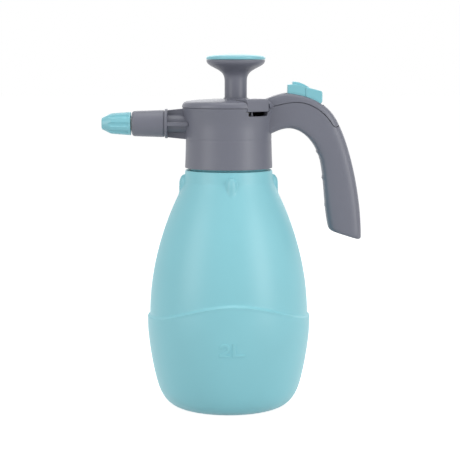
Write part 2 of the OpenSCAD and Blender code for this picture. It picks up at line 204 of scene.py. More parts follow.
def outline(corners, closed=True, steps=5):
    """A line through corners (u, v, r), each turned on a quadratic curve that starts and ends r away."""
    corners = np.asarray(corners, float)
    count = len(corners)
    pieces = []
    for i in range(count):
        here, reach = corners[i, :2], corners[i, 2]
        if reach == 0 or (not closed and i in (0, count - 1)):
            pieces.append(here[None])
            continue
        back = corners[i - 1, :2] - here
        ahead = corners[(i + 1) % count, :2] - here
        start = here + back * min(0.48, reach / np.linalg.norm(back))
        end = here + ahead * min(0.48, reach / np.linalg.norm(ahead))
        t = np.linspace(0, 1, steps + 1)[:, None]
        pieces.append(start * (1 - t) ** 2 + 2 * here * t * (1 - t) + end * t * t)
    return np.concatenate(pieces)


def lengthwise(points, step):
    """An open line divided again so that no stretch is longer than step."""
    pieces = [points[:1]]
    for a, b in zip(points[:-1], points[1:]):
        parts = max(1, math.ceil(np.linalg.norm(b - a) / step))
        t = np.linspace(0, 1, parts + 1)[1:, None]
        pieces.append(a + (b - a) * t)
    return np.concatenate(pieces)


def smooth(x):
    """0 up to 0, 1 from 1 on, and an even S between."""
    x = np.clip(x, 0, 1)
    return x * x * (3 - 2 * x)


# ---------------------------------------------------------------- meshes


def grid_faces(rows, columns, wrap_rows=False):
    """Quads between neighbouring points of a grid, numbered row by row. Each row is a closed ring."""
    i = np.arange(rows if wrap_rows else rows - 1)
    j = np.arange(columns)
    i, j = np.meshgrid(i, j, indexing="ij")
    up, across = (i + 1) % rows, (j + 1) % columns
    quads = np.stack(
        [i * columns + j, i * columns + across, up * columns + across, up * columns + j], -1
    )
    return quads.reshape(-1, 4)


def capped_faces(rows, columns, start=0):
    """The quads of a grid whose first and last rows are closed by one face each."""
    faces = (grid_faces(rows, columns) + start).tolist()
    for first in (start, start + (rows - 1) * columns):
        faces.append(list(range(first, first + columns)))
    return faces


def make_mesh(name, points_mm, faces, sharp_deg=40.0):
    """A mesh with its doubles merged, its faces outwards and its edges sharp past sharp_deg."""
    mesh = bpy.data.meshes.new(name)
    points = np.asarray(points_mm, float).reshape(-1, 3) * MM
    mesh.from_pydata(points.tolist(), [], [list(face) for face in faces])
    work = bmesh.new()
    work.from_mesh(mesh)
    bmesh.ops.remove_doubles(work, verts=work.verts, dist=2e-6)
    bmesh.ops.dissolve_degenerate(work, edges=work.edges, dist=1e-6)
    bmesh.ops.recalc_face_normals(work, faces=work.faces)
    if work.calc_volume(signed=True) < 0:
        bmesh.ops.reverse_faces(work, faces=work.faces)
    work.to_mesh(mesh)
    work.free()
    mesh.shade_smooth()
    mesh.set_sharp_from_angle(angle=math.radians(sharp_deg))
    return mesh


def add_piece(name, mesh, body, material, slot, replaces=()):
    """Puts a mesh in the scene as a piece that rides on a body."""
    piece = bpy.data.objects.new(name, mesh)
    bpy.context.scene.collection.objects.link(piece)
    mesh.materials.clear()
    mesh.materials.append(finish(material))
    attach(piece, body)
    if replaces:
        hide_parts(*replaces)
    return piece


def revolved(profile, columns=128, centre=(0.0, 0.0)):
    """Points of a profile (radius, height) turned about the upright line through centre."""
    angle = np.linspace(0, 2 * math.pi, columns, endpoint=False)
    radius, height = profile[:, 0][:, None], profile[:, 1][:, None]
    return np.stack([centre[0] + radius * np.cos(angle), centre[1] + radius * np.sin(angle),
                     height + 0 * angle], -1)


def along_nozzle(grid):
    """Turns points round +Z into points round the nozzle's axis: height becomes -X from x = 0."""
    return np.stack([-grid[..., 2], grid[..., 1], grid[..., 0] + NOZZLE_Z], -1)


def across_pivot(grid):
    """Turns points round +Z into points round the thumb button's axis: height becomes Y."""
    return np.stack([grid[..., 0] + PIVOT[0], grid[..., 2], grid[..., 1] + PIVOT[2]], -1)


def turned_mesh(name, profile, columns=128, centre=(0.0, 0.0), lathe=None):
    """A closed solid of revolution. lathe moves its points, such as along_nozzle."""
    closed = profile[0, 0] > 1e-6 or profile[-1, 0] > 1e-6
    grid = revolved(profile, columns, centre)
    if lathe:
        grid = lathe(grid)
    return make_mesh(name, grid, grid_faces(len(profile), columns, wrap_rows=closed))


def inset(loop, distance):
    """A closed loop, in counter-clockwise order, moved inwards along its corner normals."""
    before, after = np.roll(loop, 1, 0), np.roll(loop, -1, 0)
    one, two = loop - before, after - loop
    one /= np.linalg.norm(one, axis=1)[:, None] + 1e-12
    two /= np.linalg.norm(two, axis=1)[:, None] + 1e-12
    normal = np.stack([-(one + two)[:, 1], (one + two)[:, 0]], -1)
    normal /= np.linalg.norm(normal, axis=1)[:, None] + 1e-12
    reach = np.clip((normal * np.stack([-two[:, 1], two[:, 0]], -1)).sum(1), 0.5, 1)
    return loop + normal * (distance / reach)[:, None]


def turning(loop):
    """Twice the signed area of a closed loop: above 0 if it runs counter-clockwise."""
    x, y = loop[:, 0], loop[:, 1]
    return float((x * np.roll(y, -1) - y * np.roll(x, -1)).sum())


def counter_clockwise(loop):
    """The loop, turned round if it runs clockwise."""
    return loop if turning(loop) > 0 else loop[::-1]


def slab_mesh(name, corners, half, edge, place, steps=4):
    """A plate of a flat outline, from -half to half across, with quarter-round rims of radius edge.

    Each layer of the rim is the outline of the corners (u, v, r) moved inwards, with its corner
    turns shortened by as much. place turns arrays (u, v, w) of outline and thickness into x, y, z.
    """
    corners = counter_clockwise(np.asarray(corners, float))
    angle = np.linspace(0, math.pi / 2, steps + 1)
    across = -half + edge * (1 - np.cos(angle))
    depth = edge * (1 - np.sin(angle))
    across = np.concatenate([across, -across[::-1]])
    depth = np.concatenate([depth, depth[::-1]])
    layers = []
    for d in depth:
        moved = inset(corners[:, :2], d)
        reach = np.maximum(corners[:, 2] - 0.6 * d, 0.08)
        layers.append(outline(np.column_stack([moved, reach])))
    layers = np.stack(layers)
    w = np.broadcast_to(across[:, None], layers.shape[:2])
    grid = place(layers[..., 0], layers[..., 1], w)
    return make_mesh(name, grid, capped_faces(*layers.shape[:2]))


def upright(u, v, w):
    """Outline in x and z, thickness in y."""
    return np.stack([u, w, v], -1)


def level(u, v, w):
    """Outline in x and y, thickness in z about the nozzle's axis."""
    return np.stack([u, v, w + NOZZLE_Z], -1)


def at_relief(u, v, w):
    """Outline in distance from the bottle's axis and z, thickness across, turned to the relief tab."""
    c, s = math.cos(RELIEF_TURN), math.sin(RELIEF_TURN)
    return np.stack([u * c - w * s, u * s + w * c, v], -1)


def add_slab(name, corners, half, edge, place, look, replaces=()):
    """Adds a plate as a piece and keeps its broad faces flat under smooth shading."""
    piece = add_piece(name, slab_mesh(name, corners, half, edge, place), *look, replaces)
    flat = piece.modifiers.new("even_normals", "WEIGHTED_NORMAL")
    flat.keep_sharp = True
    flat.weight = 80


def cut(piece, cutters, keep=()):
    """Takes cutters out of a piece and keeps only what lies in every keep mesh, then applies it."""
    tools = []
    for operation, meshes in (("INTERSECT", keep), ("DIFFERENCE", cutters)):
        for mesh in meshes:
            tool = bpy.data.objects.new("cutter", mesh)
            bpy.context.scene.collection.objects.link(tool)
            tools.append(tool)
            step = piece.modifiers.new("cut", "BOOLEAN")
            step.operation = operation
            step.solver = "EXACT"
            step.object = tool
    bpy.context.view_layer.update()
    graph = bpy.context.evaluated_depsgraph_get()
    result = bpy.data.meshes.new_from_object(piece.evaluated_get(graph))
    piece.modifiers.clear()
    if not result.polygons:
        raise RuntimeError(f"nothing is left of {piece.name} after its cuts")
    piece.data = result
    for tool in tools:
        bpy.data.objects.remove(tool)
    result.shade_smooth()
    result.set_sharp_from_angle(angle=math.radians(38))


# ---------------------------------------------------------------- settings


def colour_setting(name, description, code):
    """A colour setting whose default is an sRGB hex value."""
    return FloatVectorProperty(
        name=name, description=description, subtype="COLOR", default=linear(code))


def length_setting(name, description, default):
    """A length setting, in metres."""
    return FloatProperty(name=name, description=description, unit="LENGTH", default=default)


def square_setting(name, default):
    """A setting for the power of the handle's section."""
    return FloatProperty(
        name=name, description="2 gives the handle an oval section, and more makes it squarer",
        default=default, min=2.0, max=8.0)


class SprayerColours(bpy.types.PropertyGroup):
    """Colours of the sprayer's materials."""

    bottle_colour: colour_setting("Bottle", "Colour of the blown bottle", "#93d7e2")
    trim_colour: colour_setting(
        "Trim", "Colour of the nozzle cap, knob cap and thumb button", "#8bcfdb")
    head_colour: colour_setting(
        "Head", "Colour of the head, handle, pump and nozzle sleeve", "#757783")
    inner_colour: colour_setting("Inner parts", "Colour of the unpigmented parts inside", "#e6e5de")
    rubber_colour: colour_setting("Seals", "Colour of the rubber seals", "#232326")


class BottleSizes(bpy.types.PropertyGroup):
    """Sizes of the bottle."""

    band_radius: length_setting("Band radius", "Largest radius of the proud lower band",
                                float(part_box("bottle")[1][1]))
    band_step: length_setting("Band step", "How far the band stands out of the upper body", 0.002)
    arch_low: length_setting(
        "Step at the sides", "Height of the band's upper edge at the left and right", 0.0783)
    arch_high: length_setting(
        "Step at the front", "Height of the band's upper edge at the front and back", 0.0957)
    wall: length_setting("Wall", "Thickness of the blown wall", 0.002)


class HeadSizes(bpy.types.PropertyGroup):
    """Sizes of the head, the handle and the cover."""

    handle_width: length_setting("Handle width", "Width of the handle, front to back", 0.026)
    root_square: square_setting("Squareness at the head", 6.0)
    grip_square: square_setting("Squareness at the grip", 3.3)
    pin_length: length_setting("Pin length", "Length of the pin that the thumb button turns on", 0.0222)
    seam: length_setting("Seam", "Width of the joint line between the handle and its cover", 0.0006)


class NozzleSizes(bpy.types.PropertyGroup):
    """Sizes of the nozzle cap."""

    flutes: IntProperty(
        name="Flutes", description="Number of grip flutes round the cap", default=8, min=4, max=12)
    flute_radius: length_setting("Flute radius", "Radius of each flute's hollow", 0.002)


# ---------------------------------------------------------------- bottle

FOOT_R = 42.0
HOLLOW_R = 36.0
SHOULDER_Z = 201.3
BOTTLE_TURN = math.radians(3.5)
NECK_R = 31.5
NECK_BORE_R = 28.5
THREAD_PITCH = 5.0
MARK_RAISE = 0.46
PARTED_ROWS = 150  # rows of the outer skin that carry the moulds' parting line


def bottle_lines(sizes):
    """Half outlines of the bottle, in radius and height: foot, band, body and shoulder."""
    band = sizes.band_radius / MM - 0.1
    body = band - sizes.band_step / MM
    foot = bezier([FOOT_R, 0], [FOOT_R + 10, 0], [band - 11.1, 9], [band - 8.1, 19.3], 18)
    lower = bezier([band - 8.1, 19.3], [band - 4.6, 31.4], [band - 0.2, 56], [band, 72], 24, 1)
    upper = bezier([body, 80], [body - 0.3, 115], [57.5, 148], [45, 175], 80)
    shoulder = np.concatenate([
        bezier([45, 175], [42.3, 180.9], [39.9, 186], [38.6, 189.4], 30, 1),
        bezier([38.6, 189.4], [38.1, 190.7], [37.7, 191.3], [37.6, 192.6], 8, 1),
        bezier([37.6, 192.6], [37.3, 195.5], [36.9, 198.5], [36.7, SHOULDER_Z], 16, 1)])
    return foot, lower, upper, shoulder


def lug_reach(height, off_angle):
    """How far from the axis a shoulder lug reaches: an upright bar whose top is half an ellipsoid."""
    bar_x, bar_r, round_z, round_h = 37.1, 4.7, 189.5, 8.2
    over = np.clip((height - round_z) / round_h, 0, 1)
    radius = bar_r * np.sqrt(1 - over**2)
    inside = radius**2 - (bar_x * np.sin(off_angle)) ** 2
    reach = bar_x * np.cos(off_angle) + np.sqrt(np.clip(inside, 0, None))
    return np.where(inside > 0, reach, 0)


def blend_max(a, b, soft):
    """The larger of a and b, with a fillet of about soft where they are close."""
    h = np.clip(0.5 + 0.5 * (a - b) / soft, 0, 1)
    return b + (a - b) * h + soft * h * (1 - h)


def thread_ridge(height, angle, low, high, crest):
    """A screw thread's height: a rounded ridge that climbs one pitch a turn and fades at both ends."""
    phase = (height - low - THREAD_PITCH * angle / (2 * math.pi)) % THREAD_PITCH
    ridge = smooth(1.6 - np.abs(phase - THREAD_PITCH / 2) * 1.15)
    ends = smooth((height - low) / 1.2) * smooth((high - height) / 1.2)
    return crest * ridge * ends


def bottle_grid(sizes, columns=344):
    """The bottle's whole skin, outside from the base's centre to the neck, then inside to the floor.

    Radius is a function of row and angle. The rows bend with the band's arched edge, whose height is
    low + (high - low) * |sin angle| cubed. The columns are twice as close at the four lugs.
    """
    foot, lower, upper, shoulder = bottle_lines(sizes)
    wall = sizes.wall / MM
    step = sizes.band_step / MM
    even = np.linspace(0, 2 * math.pi, columns, endpoint=False)
    angle = (even - 0.12 * np.sin(4 * even))[None] + BOTTLE_TURN
    front = np.abs(np.sin(angle - BOTTLE_TURN)) ** 3
    arch = (sizes.arch_low + (sizes.arch_high - sizes.arch_low) * front) / MM

    def body_radius(height):
        full = np.concatenate([[[upper[0, 0], 60]], upper, shoulder])
        return np.interp(height, full[:, 1], full[:, 0])

    def fixed(points):
        return points[:, 0][:, None] + 0 * angle, points[:, 1][:, None] + 0 * angle

    hollow = np.linspace(0, 1, 9)[:, None]
    dome = np.concatenate([hollow * HOLLOW_R, 5 * (1 - hollow**2)], 1)
    foot_in = bezier([HOLLOW_R, 0.0], [37.5, -0.02], [39, 0], [FOOT_R, 0], 4, 1)
    parts = [fixed(np.concatenate([dome, foot_in, foot[1:], lower]))]

    lip, rise = 1.3, np.linspace(0, 1, 9)[1:, None]
    height = 72 + rise * (arch - lip - 72)
    parts.append((np.interp(height, [72, 80, 98], [lower[-1, 0]] * 2 + [lower[-1, 0] - 0.9]), height))
    turn = np.linspace(0, 1, 11)[1:, None]
    height = arch - lip + turn * 2 * lip
    proud = step * (1 - smooth(turn)) + 0 * angle
    parts.append((body_radius(height) + proud, height))
    climb = np.linspace(0, 1, 56)[1:, None]
    height = (arch + lip) + climb * (172 - arch - lip)
    parts.append((body_radius(height), height))

    height = np.linspace(172, SHOULDER_Z - 0.8, 42)[1:, None] + 0 * angle
    radius = body_radius(height)
    for turn_to in range(4):
        off = (angle - BOTTLE_TURN - turn_to * math.pi / 2 + math.pi) % (2 * math.pi) - math.pi
        lug = np.where(np.abs(off) < 0.3, lug_reach(height, off), 0)
        radius = np.where(lug > 0, blend_max(radius, lug, 0.8), radius)
    parts.append((radius, height))

    ledge = outline(
        [[36.65, SHOULDER_Z - 0.6, 0], [36.4, SHOULDER_Z, 0.5], [NECK_R, SHOULDER_Z, 1.2],
         [NECK_R, 204.2, 0]], closed=False)[1:]
    parts.append(fixed(ledge))
    height = np.linspace(204.6, 219.6, 34)[:, None] + 0 * angle
    parts.append((NECK_R + thread_ridge(height, angle, 205.2, 219.2, 1.9), height))
    rim = outline(
        [[NECK_R, 220, 0], [NECK_R, NECK_TOP, 0.5], [NECK_BORE_R, NECK_TOP, 0.5],
         [NECK_BORE_R, SHOULDER_Z - wall, 2], [34.3, SHOULDER_Z - wall - 0.4, 1.2],
         [35.6, 190, 0]], closed=False)
    parts.append(fixed(rim))
    inner = np.concatenate([upper[::5], shoulder[::5]])
    inner = inner[inner[:, 1] < 187][::-1] - [wall, 0]
    base = np.concatenate([foot[1:], lower[::3]])[::-1]
    base = base[base[:, 1] > 3] - [wall, 0]
    floor = np.array([[50, 4.0], [42, 2.3], [36, wall], [24, 4.8], [12, 6.6], [0, 7.2]])
    parts.append(fixed(np.concatenate([inner, base, floor])))

    radius = np.concatenate([part[0] for part in parts])
    height = np.concatenate([part[1] for part in parts])
    return np.stack([radius * np.cos(angle), radius * np.sin(angle), height], -1)


def parting_line(grid, ridge=0.12, width=0.5):
    """Lifts the fine line that the two mould halves leave along the left and right sides."""
    radius = np.hypot(grid[..., 0], grid[..., 1])
    aside = grid[..., 1] * math.cos(BOTTLE_TURN) - grid[..., 0] * math.sin(BOTTLE_TURN)
    lift = ridge * np.exp(-((aside / width) ** 2)) * (radius > 40)
    grown = grid.copy()
    outward = grid[..., :2] / np.maximum(radius, 1e-6)[..., None]
    grown[..., :2] += outward * lift[..., None]
    return grown


class SPRAYER_OT_bottle(bpy.types.Operator):
    """The blown bottle, with its arched band, shoulder lugs and threaded neck"""

    bl_idname = "sprayer.bottle"
    bl_label = "Bottle"

    def execute(self, context):
        grid = bottle_grid(context.scene.sprayer_bottle)
        grid[:PARTED_ROWS] = parting_line(grid[:PARTED_ROWS])
        mesh = make_mesh("bottle_shell", grid, grid_faces(*grid.shape[:2]), 60)
        add_piece("bottle_shell", mesh, *TANK, ["bottle"])
        return {"FINISHED"}


def stroke_grid(path, half_width, height, on_surface, steps=5):
    """A raised stroke along a flat path: a flat top with steep quarter-ellipse shoulders.

    on_surface turns (u, v, lift) into x, y and z on the bottle.
    """
    path = lengthwise(np.asarray(path, float), 0.5)
    ahead = np.gradient(path, axis=0)
    ahead /= np.linalg.norm(ahead, axis=1)[:, None]
    aside = np.stack([-ahead[:, 1], ahead[:, 0]], -1)
    bend = np.linspace(0, math.pi / 2, steps + 1)
    edge = 0.3 * height
    across = np.concatenate([[-half_width], -half_width + edge * (1 - np.cos(bend)),
                             half_width - edge * (1 - np.cos(bend[::-1])), [half_width]])
    lift = np.concatenate([[-0.6], height * np.sin(bend), height * np.sin(bend[::-1]), [-0.6]])
    flat = path[:, None, :] + aside[:, None, :] * across[None, :, None]
    return on_surface(flat[..., 0], flat[..., 1], np.broadcast_to(lift, flat.shape[:2]))


class SPRAYER_OT_capacity_mark(bpy.types.Operator):
    """The raised capacity mark, two litres, on the front of the band"""

    bl_idname = "sprayer.capacity_mark"
    bl_label = "Capacity mark"

    def execute(self, context):
        side = np.concatenate(bottle_lines(context.scene.sprayer_bottle)[:2])
        centre_x, centre_z, half = 2.6, 59.6, 5.7

        def on_front(u, v, lift):
            x, z = centre_x + u, centre_z + v
            radius = np.interp(z, side[:, 1], side[:, 0])
            return np.stack([x, -np.sqrt(radius**2 - x**2) - lift, z], -1)

        bend = np.radians(np.linspace(170, -38, 30))
        hook = np.stack([-5.9 + 3.3 * np.cos(bend), half - 4.6 + 3.3 * np.sin(bend)], -1)
        foot_z = -half + 1.1
        strokes = {
            "capacity_two": [(np.concatenate([hook, [[-9.0, foot_z + 0.3]]]), 1.3),
                             ([[-10.4, foot_z], [-1.3, foot_z]], 1.1)],
            "capacity_litre": [([[1.9, half], [1.9, -half]], 1.5),
                               ([[0.8, foot_z], [10.5, foot_z]], 1.1)],
        }
        for name, paths in strokes.items():
            points, faces, start = [], [], 0
            for path, half_stroke in paths:
                grid = stroke_grid(path, half_stroke, MARK_RAISE, on_front)
                rows, columns = grid.shape[:2]
                faces += capped_faces(rows, columns, start)
                points.append(grid.reshape(-1, 3))
                start += rows * columns
            mesh = make_mesh(name, np.concatenate(points), faces)
            add_piece(name, mesh, *TANK)
        return {"FINISHED"}


# ---------------------------------------------------------------- head

COLLAR_LOW = 203.2
SEAM_Z = 253.6
CUP_R = 33.5


def housing_radius(height):
    """Outer radius of the housing at a height: nearly straight, then flared to the cover."""
    return np.interp(
        height,
        [203.2, 212, 222, 235, 239, 243, 246.5, 250, 252.5, 253.6],
        [36.9, 36.5, 36.2, 36.0, 36.1, 36.6, 37.3, 38.2, 38.8, 39.0],
    )


def housing_grid(columns=256):
    """The housing's closed skin: outside, rim, cup, bulkhead and threaded collar."""
    angle = np.linspace(0, 2 * math.pi, columns, endpoint=False)[None]
    height = np.linspace(COLLAR_LOW + 0.7, SEAM_Z - 0.6, 60)
    spread = np.convolve(
        np.pad(housing_radius(height), 2, mode="edge"), np.ones(5) / 5, mode="valid")
    groove = 0.22 * np.exp(-(((height - 227.0) / 0.45) ** 2))
    outside = np.stack([spread - groove, height], -1)
    cup = outline(
        [[0, 227, 0], [CUP_R, 227, 1.0], [CUP_R, SEAM_Z - 0.12, 0.4],
         [outside[-1, 0] + 0.1, SEAM_Z - 0.12, 0.4], [outside[-1, 0], outside[-1, 1], 0]],
        closed=False)[:-1]
    lip = outline(
        [[outside[0, 0], outside[0, 1], 0], [36.9, COLLAR_LOW, 0.4], [34.8, COLLAR_LOW, 0.5],
         [34.6, 204.4, 0]], closed=False)[1:]
    collar = np.linspace(205, 221.5, 36)
    collar = np.stack([np.full_like(collar, 34.6), collar], -1)
    plate = outline([[34.4, 222, 0], [34.4, 224, 0.8], [0, 224, 0]], closed=False)
    profile = np.concatenate([cup, outside[::-1], lip, collar, plate])
    radius = profile[:, 0][:, None] + 0 * angle
    rise = profile[:, 1][:, None] + 0 * angle
    start = len(cup) + len(outside) + len(lip)
    rows = slice(start, start + len(collar))
    radius[rows] -= thread_ridge(rise[rows], angle, 206.0, 221.0, 0.65)
    return np.stack([radius * np.cos(angle), radius * np.sin(angle), rise], -1)


def flared_window(loop, skin_radius, deep, edge=0.5, steps=5):
    """A cutter through a round wall. loop is the window in (across, height).

    Its mouth opens in a quarter circle of radius edge at the wall's skin, so the cut has a rounded rim.
    """
    loop = counter_clockwise(np.asarray(loop, float))
    bend = np.linspace(0, math.pi / 2, steps + 1)
    grow = np.concatenate([[0], edge * (1 - np.cos(bend)), [edge]])
    out = np.concatenate([[-deep], -edge + edge * np.sin(bend), [3.0]])
    layers = np.stack([inset(loop, -g) for g in grow])
    reach = skin_radius(layers[..., 1]) + out[:, None]
    outward = np.sqrt(np.maximum(reach**2 - layers[..., 0] ** 2, 1))
    outward[0], outward[-1] = 30.0, 46.0
    grid = at_relief(outward, layers[..., 1], layers[..., 0])
    return make_mesh("cutter", grid, capped_faces(*layers.shape[:2]))


def rod_cutter(radius, low, high, centre):
    """An upright round cutter."""
    profile = np.array([[0, low], [radius, low], [radius, high], [0, high]], float)
    return turned_mesh("cutter", profile, 72, centre)


def block_cutter(low, high):
    """A rectangular cutter between two corners."""
    corners = np.array([[x, y, z] for x in (low[0], high[0]) for y in (low[1], high[1])
                        for z in (low[2], high[2])], float)
    faces = [[0, 1, 3, 2], [4, 5, 7, 6], [0, 1, 5, 4], [2, 3, 7, 6], [0, 2, 6, 4], [1, 3, 7, 5]]
    return make_mesh("cutter", corners, faces)


class SPRAYER_OT_housing(bpy.types.Operator):
    """The pump housing and screw collar, with the window of the relief tab"""

    bl_idname = "sprayer.housing"
    bl_label = "Housing"

    def execute(self, context):
        grid = housing_grid()
        mesh = make_mesh("housing", grid, grid_faces(*grid.shape[:2]))
        piece = add_piece("housing", mesh, *HEAD, ["head_body"])
        window = outline(
            [[-12.6, 258, 0], [-12.6, 250.3, 0.9], [-10.6, 250.3, 0.9], [-10.6, 247.1, 1.6],
             [10.6, 247.1, 1.6], [10.6, 250.3, 0.9], [12.6, 250.3, 0.9], [12.6, 258, 0]])
        cut(piece, [
            flared_window(window, housing_radius, 6.5),
            rod_cutter(15.2, 222, 229, (PUMP_X, 0)),
            rod_cutter(3.7, 222, 229, (float(middle_mm("dip_tube")[0]), 0)),
            block_cutter([30, -4.4, 238.2], [37, 4.4, 243.4]),
        ])
        boss = turned_mesh(
            "relief_boss",
            outline([[3.9, 226.9, 0], [5.0, 226.9, 0], [5.0, 237.4, 0.4], [3.9, 237.4, 0.3]]),
            48, (RELIEF[0], RELIEF[1]))
        add_piece("relief_boss", boss, *HEAD)
        return {"FINISHED"}


class SPRAYER_OT_nozzle_arm(bpy.types.Operator):
    """The arm between the housing and the nozzle: a tube, two webs and an end ring"""

    bl_idname = "sprayer.nozzle_arm"
    bl_label = "Nozzle arm"

    def execute(self, context):
        tube = outline([[3.1, 34.6, 0], [7.7, 34.6, 0], [7.7, 52, 0], [6.0, 54, 0], [6.0, 66, 0.4],
                        [3.1, 66, 0.3]])
        add_piece("arm_tube", turned_mesh("arm_tube", tube, 96, lathe=along_nozzle), *HEAD,
                  ["nozzle_arm"])
        ring = outline([[7.2, 51.2, 0], [12.45, 51.2, 1.1], [12.45, 53.8, 1.1], [7.2, 53.8, 0]])
        add_piece("arm_ring", turned_mesh("arm_ring", ring, 128, lathe=along_nozzle), *HEAD)
        rise = [[-52, 228.6, 0.3], [-35.4, 226.9, 0.3], [-35.4, 253.0, 0.3], [-52, 251.4, 0.3]]
        add_slab("arm_web_upright", rise, 1.5, 0.45, upright, HEAD)
        flat = [[-52, -12, 0.3], [-33.9, -14.2, 0.3], [-33.9, 14.2, 0.3], [-52, 12, 0.3]]
        add_slab("arm_web_level", flat, 1.6, 0.45, level, HEAD)
        return {"FINISHED"}


# Handle lines in x and z, each in the three stretches root, crook and grip
OUTER_LINE = [
    ([31, 261], [37, 263.2], [43, 265.9], [49.5, 266.1]),
    ([49.5, 266.1], [66, 264.2], [84, 259], [92.7, 239]),
    ([92.7, 239], [102, 221], [111.8, 180], [112.2, 145]),
]
INNER_LINE = [
    ([34, 231], [38.5, 233.2], [44, 236.2], [50, 236.3]),
    ([50, 236.3], [62, 236.5], [73.5, 224], [77, 209]),
    ([77, 209], [80.8, 192], [80.4, 170], [84, 154]),
]
SEAM_LINE = [
    ([30, 253.2], [42, 256], [50, 258.3], [57, 258.2]),
    ([57, 258.2], [68, 258], [80, 251], [87, 239]),
    ([87, 239], [88.5, 237.2], [90.8, 237.0], [93.2, 239.6]),
]
STRETCHES = (24, 80, 44)
SQUARE_ROWS = 60  # rows from the head over which the handle keeps its squarest section
SHELL = 2.4
BUTTON_SLOT = ([47.6, -9.5, 240], [79.6, 9.5, 280])
RIDGES = ((75.2, 216.2), (78.9, 194.4), (80.3, 171.1))
# The rib behind the seam: its gap to the shell, its thickness, and how far it reaches up and down
RIB_GAP, RIB_WALL, RIB_UP, RIB_DOWN = 0.02, 1.0, 1.6, 1.8


def joined(line, counts):
    """The points of a line of several curves, without doubles."""
    return np.concatenate(
        [bezier(*curve, count, 0 if i == 0 else 1) for i, (curve, count) in enumerate(zip(line, counts))])


def handle_grid(inner, outer, width, squareness, count=26):
    """Closed sections along the handle, one row for each station.

    A section is the curve |along|^n + |aside|^n = 1, stretched from the inner to the outer line and
    to the handle's width. squareness is n at each station.
    """
    power = 2 / np.asarray(squareness)[:, None]
    angle = np.linspace(0, 2 * math.pi, 2 * count, endpoint=False)[None]
    c, s = -np.cos(angle), np.sin(angle)
    size = np.linalg.norm(outer - inner, axis=1)[:, None] / 2
    place = np.sign(c) * np.abs(c) ** power * size
    aside = np.sign(s) * np.abs(s) ** power * width / 2
    flat = ((inner + outer) / 2)[:, None] + ((outer - inner) / 2 / size)[:, None] * place[..., None]
    return np.stack([flat[..., 0], aside, flat[..., 1]], -1)


def point_row(row):
    """A row whose points all lie at the middle of another row, which closes a sweep."""
    return np.broadcast_to(row.mean(0), row.shape)[None]


def rounded_end(row, direction, radius, steps=6):
    """Rows that close a sweep: the section shrinks as its points move on along a quarter circle."""
    centre = (row.max(0) + row.min(0)) / 2
    arms = row - centre
    length = np.linalg.norm(arms, axis=1)[:, None] + 1e-9
    bend = np.linspace(0, math.pi / 2, steps + 1)[1:, None, None]
    rows = centre + arms * (1 - radius * (1 - np.cos(bend)) / length) + direction * radius * np.sin(bend)
    last = rows[-1]
    middle = (last.max(0) + last.min(0)) / 2
    return np.concatenate([rows, middle + (last - middle) * np.linspace(1, 0, 5)[1:, None, None]])


def handle_hollow(inner, outer, width, squareness, wall=SHELL, mouth=8):
    """The space inside the handle and its cover, a wall in from the skin, longer by mouth at the head."""
    way = outer - inner
    way /= np.linalg.norm(way, axis=1)[:, None]
    keep = slice(0, -14)
    grid = handle_grid((inner + way * wall)[keep], (outer - way * wall)[keep],
                       width - 2 * wall, squareness[keep])
    first = grid[:1] - [mouth, 0, 0]
    grid = np.concatenate([point_row(first[0]), first, grid, point_row(grid[-1])])
    return make_mesh("cutter", grid, grid_faces(*grid.shape[:2]))


def head_core():
    """What lies inside the housing's skin, as a cutter."""
    height = np.linspace(200, SEAM_Z, 40)
    side = np.stack([housing_radius(height) - 0.25, height], -1)
    profile = np.concatenate([[[0, 200]], side, [[38.9, 258], [0, 258]]])
    return turned_mesh("cutter", profile, 192)


def above_seam(lift):
    """Everything above the seam moved up by lift, as a cutter. The seam curls up at its lower end."""
    line = joined(SEAM_LINE, (30, 50, 24))
    ahead = np.gradient(line, axis=0)
    ahead /= np.linalg.norm(ahead, axis=1)[:, None]
    line = line + lift * np.stack([-ahead[:, 1], ahead[:, 0]], -1)
    beyond = [line[-1] + ahead[-1] * 4, [125, 262], [125, 300], [10, 300]]
    loop = np.concatenate([[[10, 251]], line, beyond])
    grid = np.stack([upright(loop[:, 0], loop[:, 1], w + 0 * loop[:, 0]) for w in (-20.0, 20.0)])
    return make_mesh("cutter", grid, capped_faces(2, len(loop)))


def ridges(grid):
    """Raises three low finger ridges on the handle's inner side, each a bell curve in x and z."""
    for x, z in RIDGES:
        away = np.hypot(grid[..., 0] - x, grid[..., 2] - z)
        grid[..., 0] -= 0.9 * np.exp(-((away / 1.3) ** 2))


